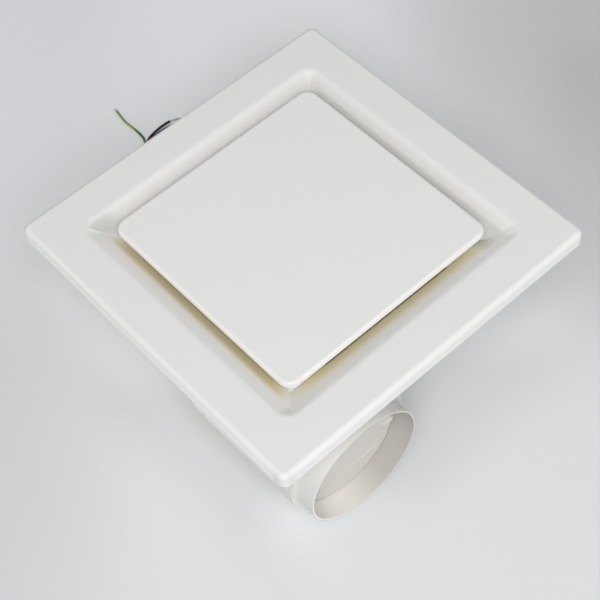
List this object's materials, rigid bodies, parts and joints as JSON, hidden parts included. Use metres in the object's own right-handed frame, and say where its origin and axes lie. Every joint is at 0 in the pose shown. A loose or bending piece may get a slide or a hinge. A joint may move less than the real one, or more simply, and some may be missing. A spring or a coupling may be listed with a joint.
{
  "type": "ceiling duct exhaust fan",
  "caption": "Square ceiling exhaust fan lying on its back, with a floating centre panel, a scroll housing and a round side spigot with a backdraft flap.",
  "frame": {"origin": "centre of the bottom of the bounding box: under the middle of the fascia, on the plane that the back of the motor cup rests on", "axes": "+Z out of the fascia towards the room, +X along the duct spigot"},
  "size_m": [0.4546, 0.29, 0.1513],
  "materials": {
    "housing_plastic": "moulded white plastic",
    "fascia_plastic": "satin white plastic",
    "impeller_plastic": "moulded off-white plastic",
    "terminal_plastic": "moulded natural plastic",
    "seal_rubber": "soft black rubber",
    "cable_black": "black lead sheath",
    "black_plastic": "moulded black plastic",
    "core_brown": "brown insulation",
    "core_blue": "blue insulation",
    "core_green": "green insulation with a yellow stripe",
    "cable_white": "white sheath",
    "tinned_copper": "tinned strands",
    "motor_steel": "zinc-plated steel",
    "core_steel": "laminated electrical steel",
    "winding_copper": "enamelled copper wire",
    "bearing_bronze": "sintered bronze",
    "spring_steel": "bare spring wire",
    "screw_steel": "zinc-plated"
  },
  "bodies": {
    "housing": {"housing_shell": "housing_plastic", "inlet_ring": "housing_plastic", "inlet_ring_screws": "screw_steel", "duct_spigot": "housing_plastic", "spigot_seal": "seal_rubber", "spigot_screws": "screw_steel", "motor_lower_shield": "motor_steel", "motor_upper_shield": "motor_steel", "stator_core": "core_steel", "stator_winding": "winding_copper", "motor_through_screws": "screw_steel", "lower_bearing": "bearing_bronze", "upper_bearing": "bearing_bronze", "motor_grommets": "seal_rubber", "motor_mount_screws": "screw_steel", "motor_lead": "cable_black", "lead_grommets": "black_plastic", "terminal_block": "terminal_plastic", "terminal_screws": "screw_steel", "run_capacitor": "black_plastic", "supply_leads": "core_brown", "wiring_cover": "housing_plastic", "wiring_cover_screws": "screw_steel", "strain_relief": "black_plastic", "power_cable": "cable_white", "live_core": "core_brown", "neutral_core": "core_blue", "earth_core": "core_green", "core_tips": "tinned_copper"},
    "rotor": {"motor_shaft": "motor_steel", "motor_rotor": "core_steel", "impeller": "impeller_plastic", "impeller_washer": "screw_steel", "impeller_nut": "screw_steel"},
    "flap": {"backdraft_flap": "housing_plastic"},
    "fascia": {"fascia_frame": "fascia_plastic", "left_spring_coil": "spring_steel", "right_spring_coil": "spring_steel"},
    "panel": {"centre_panel": "fascia_plastic"},
    "left_leg_front": {"left_spring_leg_front": "spring_steel"},
    "left_leg_rear": {"left_spring_leg_rear": "spring_steel"},
    "right_leg_front": {"right_spring_leg_front": "spring_steel"},
    "right_leg_rear": {"right_spring_leg_rear": "spring_steel"}
  },
  "joints": [
    {"name": "fan_spin", "type": "hinge", "parent": "housing", "child": "rotor", "pos_m": [-0.004, 0.007, 0.05], "axis": [0, 0, 1], "continuous": true},
    {"name": "flap_swing", "type": "hinge", "parent": "housing", "child": "flap", "pos_m": [0.1195, -0.0705, 0.056], "axis": [0, 1, 0], "range_deg": [0, 70]},
    {"name": "fascia_pull", "type": "slide", "parent": "housing", "child": "fascia", "axis": [0, 0, 1], "range_m": [0, 0.025], "stiffness_N_per_m": 150, "springref_m": -0.03},
    {"name": "panel_unclip", "type": "slide", "parent": "fascia", "child": "panel", "axis": [0, 0, 1], "range_m": [0, 0.02]},
    {"name": "left_leg_front_fold", "type": "hinge", "parent": "fascia", "child": "left_leg_front", "pos_m": [-0.1046, 0, 0.131], "axis": [1, 0, 0], "range_deg": [0, 41.2]},
    {"name": "left_leg_rear_fold", "type": "hinge", "parent": "fascia", "child": "left_leg_rear", "pos_m": [-0.0974, 0, 0.131], "axis": [1, 0, 0], "range_deg": [-41.2, 0]},
    {"name": "right_leg_front_fold", "type": "hinge", "parent": "fascia", "child": "right_leg_front", "pos_m": [0.0974, 0, 0.131], "axis": [1, 0, 0], "range_deg": [0, 41.2]},
    {"name": "right_leg_rear_fold", "type": "hinge", "parent": "fascia", "child": "right_leg_rear", "pos_m": [0.1046, 0, 0.131], "axis": [1, 0, 0], "range_deg": [-41.2, 0]}
  ],
  "couplings": [
    {"joint": "left_leg_front_fold", "follows": "fascia_pull", "rad_per_m": 28.76},
    {"joint": "left_leg_rear_fold", "follows": "fascia_pull", "rad_per_m": -28.76},
    {"joint": "right_leg_front_fold", "follows": "fascia_pull", "rad_per_m": 28.76},
    {"joint": "right_leg_rear_fold", "follows": "fascia_pull", "rad_per_m": -28.76}
  ]
}
